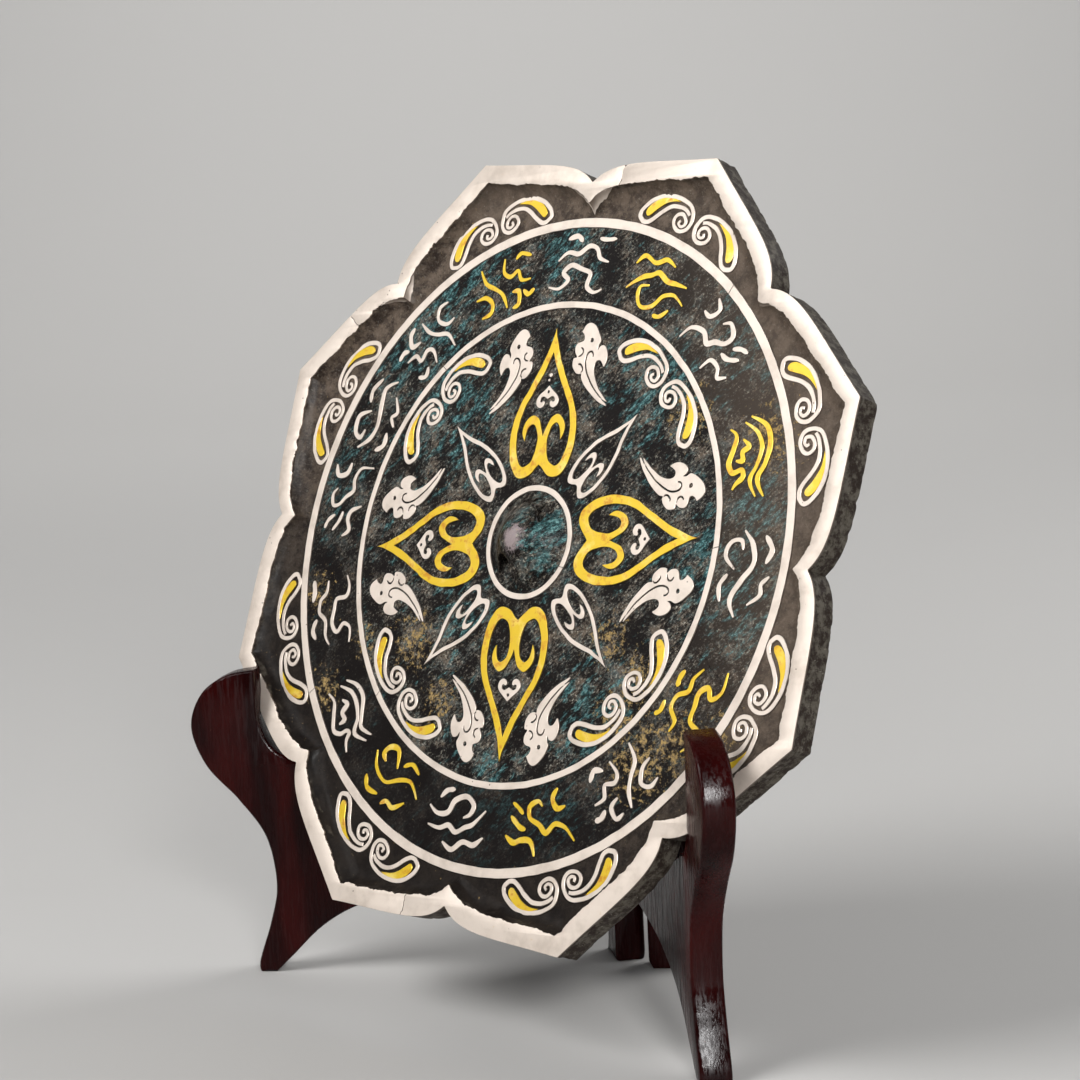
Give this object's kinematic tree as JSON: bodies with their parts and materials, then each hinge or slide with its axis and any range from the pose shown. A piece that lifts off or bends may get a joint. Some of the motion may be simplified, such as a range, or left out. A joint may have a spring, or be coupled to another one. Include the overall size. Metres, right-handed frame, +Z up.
{
  "type": "ancient bronze mirror",
  "caption": "Thick eight-petalled bronze mirror with a silver rim and silver and gold inlay, leaning in a stand of two crossed lacquered boards.",
  "frame": {"origin": "middle of the footprint of the whole, on the floor", "axes": "+Z up, the inlaid side of the mirror towards -Y, +X to the right of someone looking at it"},
  "size_m": [0.2346, 0.1028, 0.2498],
  "materials": {
    "bronze": "dark corroded bronze with green and blue patina, rough",
    "silver": "old silver sheet, creamy and satin, with hairline cracks",
    "gold": "gold sheet, satin",
    "lacquered_wood": "dark red lacquer over close-grained wood, glossy"
  },
  "bodies": {
    "root": {"bronze_mirror": "bronze", "gold_heart_1": "gold", "gold_heart_2": "gold", "gold_heart_3": "gold", "gold_heart_4": "gold", "silver_cloud_1a": "silver", "silver_cloud_1b": "silver", "silver_cloud_2a": "silver", "silver_cloud_2b": "silver", "silver_cloud_3a": "silver", "silver_cloud_3b": "silver", "silver_cloud_4a": "silver", "silver_cloud_4b": "silver", "silver_field_scroll_1a": "silver", "silver_field_scroll_1b": "silver", "silver_field_scroll_2a": "silver", "silver_field_scroll_2b": "silver", "silver_field_scroll_3a": "silver", "silver_field_scroll_3b": "silver", "silver_field_scroll_4a": "silver", "silver_field_scroll_4b": "silver", "silver_heart_1": "silver", "silver_heart_2": "silver", "silver_heart_3": "silver", "silver_heart_4": "silver", "silver_petal_scroll_1a": "silver", "silver_petal_scroll_1b": "silver", "silver_petal_scroll_2a": "silver", "silver_petal_scroll_2b": "silver", "silver_petal_scroll_3a": "silver", "silver_petal_scroll_3b": "silver", "silver_petal_scroll_4a": "silver", "silver_petal_scroll_4b": "silver", "silver_petal_scroll_5a": "silver", "silver_petal_scroll_5b": "silver", "silver_petal_scroll_6a": "silver", "silver_petal_scroll_6b": "silver", "silver_petal_scroll_7a": "silver", "silver_petal_scroll_7b": "silver", "silver_petal_scroll_8a": "silver", "silver_petal_scroll_8b": "silver", "silver_rim": "silver", "silver_ring_inner": "silver", "silver_ring_knob": "silver", "silver_ring_outer": "silver", "stand_board_left": "lacquered_wood", "stand_board_right": "lacquered_wood"}
  },
  "joints": []
}
